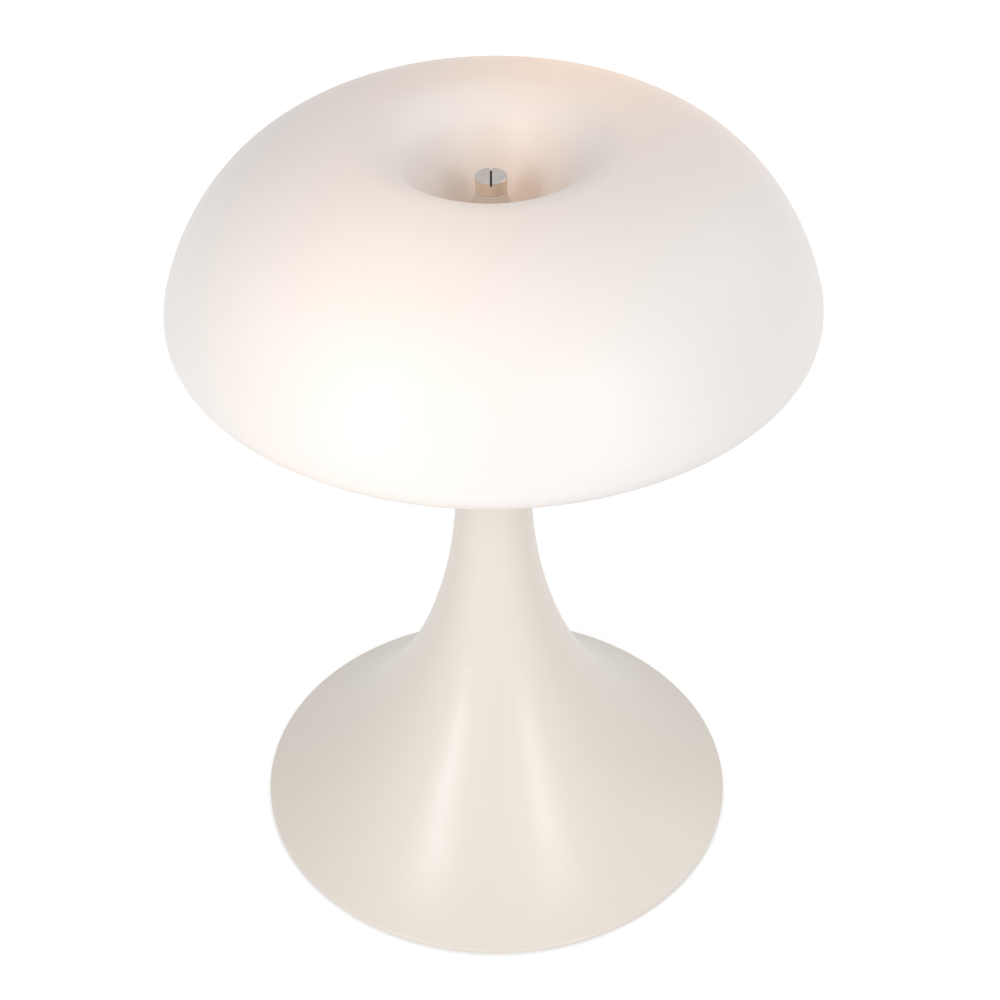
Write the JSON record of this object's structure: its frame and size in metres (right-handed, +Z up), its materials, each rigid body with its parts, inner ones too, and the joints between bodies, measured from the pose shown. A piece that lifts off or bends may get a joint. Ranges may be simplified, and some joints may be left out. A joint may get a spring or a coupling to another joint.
{
  "type": "mushroom table lamp",
  "caption": "Mushroom table lamp with a spun trumpet base, a dimpled opal shade clamped by a slotted finial on a threaded stem, and radial screw-cap bulbs inside.",
  "frame": {"origin": "on the table, in the middle of the foot ring, on the axis of the stem", "axes": "+Z up along the stem; +Y towards the back, where the cord bush is; -Y towards the viewer"},
  "size_m": [0.3999, 0.4, 0.5263],
  "materials": {
    "cream_lacquer": "satin cream lacquer",
    "black_lacquer": "satin",
    "black_rubber": "matte",
    "clear_rubber": "matte silicone",
    "cast_iron": "as cast",
    "zinc_steel": "zinc plated",
    "brass": "satin",
    "white_moulding": "matte",
    "cream_moulding": "matte",
    "white_cable": "matte PVC sheath",
    "opal_acrylic": "satin opal, lit from inside",
    "fibre": "vulcanised fibre",
    "nylon": "natural nylon",
    "satin_nickel": "satin nickel plate",
    "bulb_glass": "frosted inside",
    "aluminium_cap": "pressed",
    "black_glass": "glossy vitrite"
  },
  "bodies": {
    "root": {"ballast_weight": "cast_iron", "base_shell": "cream_lacquer", "bottom_plate": "black_lacquer", "bracket_nut": "zinc_steel", "bracket_washer": "zinc_steel", "cord_bush": "cream_moulding", "feed_cable": "white_cable", "foot_ring": "black_rubber", "gallery_nut": "zinc_steel", "gallery_seal": "clear_rubber", "holder_bracket": "zinc_steel", "holder_leads": "white_cable", "holder_nipples": "zinc_steel", "holder_nuts": "zinc_steel", "lampholder_contact_1": "brass", "lampholder_contact_2": "brass", "lampholder_contact_3": "brass", "lampholder_dome_1": "white_moulding", "lampholder_dome_2": "white_moulding", "lampholder_dome_3": "white_moulding", "lampholder_shell_1": "brass", "lampholder_shell_2": "brass", "lampholder_shell_3": "brass", "lampholder_skirt_1": "white_moulding", "lampholder_skirt_2": "white_moulding", "lampholder_skirt_3": "white_moulding", "neck_cap": "cream_lacquer", "plate_screws": "zinc_steel", "shade_gallery": "zinc_steel", "stem_bottom_nut": "zinc_steel", "stem_bottom_washer": "zinc_steel", "stem_tube": "zinc_steel", "terminal_block": "white_moulding", "terminal_fixing_screw": "zinc_steel", "terminal_screws": "brass"},
    "shade_unit": {"shade": "opal_acrylic", "pistil_collar": "opal_acrylic", "floor_washer": "fibre"},
    "finial_washer_unit": {"finial_washer": "nylon"},
    "finial_unit": {"finial": "satin_nickel"},
    "bulb_1": {"bulb_glass_1": "bulb_glass", "bulb_cap_1": "aluminium_cap", "bulb_contact_1": "black_glass"},
    "bulb_2": {"bulb_glass_2": "bulb_glass", "bulb_cap_2": "aluminium_cap", "bulb_contact_2": "black_glass"},
    "bulb_3": {"bulb_glass_3": "bulb_glass", "bulb_cap_3": "aluminium_cap", "bulb_contact_3": "black_glass"}
  },
  "joints": [
    {"name": "shade_lift", "type": "slide", "parent": "root", "child": "shade_unit", "axis": [0, 0, 1], "range_m": [0, 0.12]},
    {"name": "finial_rise", "type": "slide", "parent": "shade_unit", "child": "finial_washer_unit", "axis": [0, 0, 1], "range_m": [0, 0.0115]},
    {"name": "finial_turn", "type": "hinge", "parent": "finial_washer_unit", "child": "finial_unit", "pos_m": [0, 0, 0.4985], "axis": [0, 0, 1], "range_deg": [0, 3960]},
    {"name": "bulb_1_draw", "type": "slide", "parent": "root", "child": "bulb_1", "axis": [-0.2079, -0.9781, 0], "range_m": [0, 0.025]},
    {"name": "bulb_2_draw", "type": "slide", "parent": "root", "child": "bulb_2", "axis": [0.9511, 0.309, 0], "range_m": [0, 0.025]},
    {"name": "bulb_3_draw", "type": "slide", "parent": "root", "child": "bulb_3", "axis": [-0.7431, 0.6691, 0], "range_m": [0, 0.025]}
  ],
  "couplings": [
    {"joint": "finial_rise", "follows": "finial_turn", "m_per_rad": 0.00015915}
  ]
}
